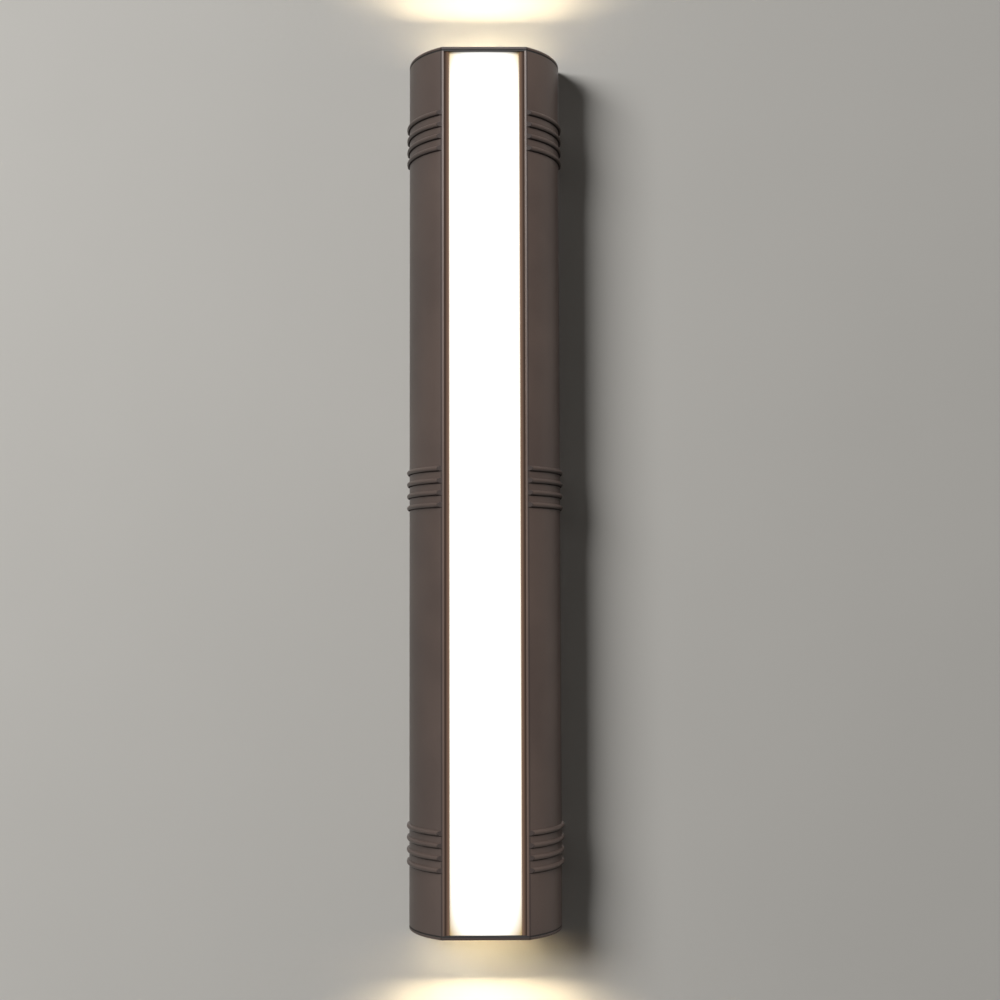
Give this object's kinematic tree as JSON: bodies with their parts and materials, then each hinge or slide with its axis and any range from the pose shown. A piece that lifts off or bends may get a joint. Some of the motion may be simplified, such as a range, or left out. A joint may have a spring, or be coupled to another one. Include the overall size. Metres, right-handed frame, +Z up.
{
  "type": "wall light",
  "caption": "Slim upright wall light: a bronze D-shaped housing with a flat opal diffuser down its whole front, windows in both end caps and beads round its flanks.",
  "frame": {"origin": "centre of the wall bracket's wall face", "axes": "+Z up, +Y into the wall, so the lit front faces -Y, and +X to the viewer's right"},
  "size_m": [0.1084, 0.0489, 0.6],
  "materials": {
    "body_paint": "matt bronze powder coat",
    "opal_diffuser": "satin opal, lit warm white",
    "window_glass": "clear, polished",
    "black_rubber": "matt",
    "grey_foam": "foam",
    "clear_seal": "translucent silicone",
    "steel_screws": "stainless",
    "reflector_metal": "bright anodised",
    "board_white": "white solder mask",
    "led_phosphor": "phosphor, lit warm white",
    "bare_aluminium": "mill finish",
    "tray_paint": "satin white",
    "driver_plastic": "moulded",
    "terminal_plastic": "moulded",
    "zinc_steel": "zinc plated",
    "earth_brass": "tinned brass",
    "white_sheath": "smooth sheath",
    "earth_sheath": "green and yellow sheath"
  },
  "bodies": {
    "root": {"body_shell": "body_paint", "top_end_cap": "body_paint", "bottom_end_cap": "body_paint", "front_diffuser": "opal_diffuser", "top_window": "window_glass", "bottom_window": "window_glass", "top_cap_gasket": "black_rubber", "bottom_cap_gasket": "black_rubber", "diffuser_seals": "black_rubber", "tray_grommet": "black_rubber", "cord_grommet": "black_rubber", "wall_seals": "grey_foam", "top_window_seal": "clear_seal", "bottom_window_seal": "clear_seal", "top_cap_screws": "steel_screws", "bottom_cap_screws": "steel_screws", "top_lock_screw": "steel_screws", "bottom_lock_screw": "steel_screws", "tray_screws": "steel_screws", "driver_screws": "steel_screws", "upper_module_screws": "steel_screws", "lower_module_screws": "steel_screws", "cord_clamp_screws": "steel_screws", "terminal_screws": "steel_screws", "upper_reflector": "reflector_metal", "lower_reflector": "reflector_metal", "upper_led_board": "board_white", "lower_led_board": "board_white", "front_led_boards": "board_white", "upper_led_chips": "led_phosphor", "lower_led_chips": "led_phosphor", "front_led_chips": "led_phosphor", "upper_heat_bracket": "bare_aluminium", "lower_heat_bracket": "bare_aluminium", "led_tray": "tray_paint", "driver_case": "driver_plastic", "terminal_block": "terminal_plastic", "cord_clamp": "terminal_plastic", "wall_bracket": "zinc_steel", "earth_tag": "earth_brass", "earth_screw": "earth_brass", "driver_input_lead": "white_sheath", "front_light_lead": "white_sheath", "upper_light_lead": "white_sheath", "lower_light_lead": "white_sheath", "earth_lead": "earth_sheath"}
  },
  "joints": []
}
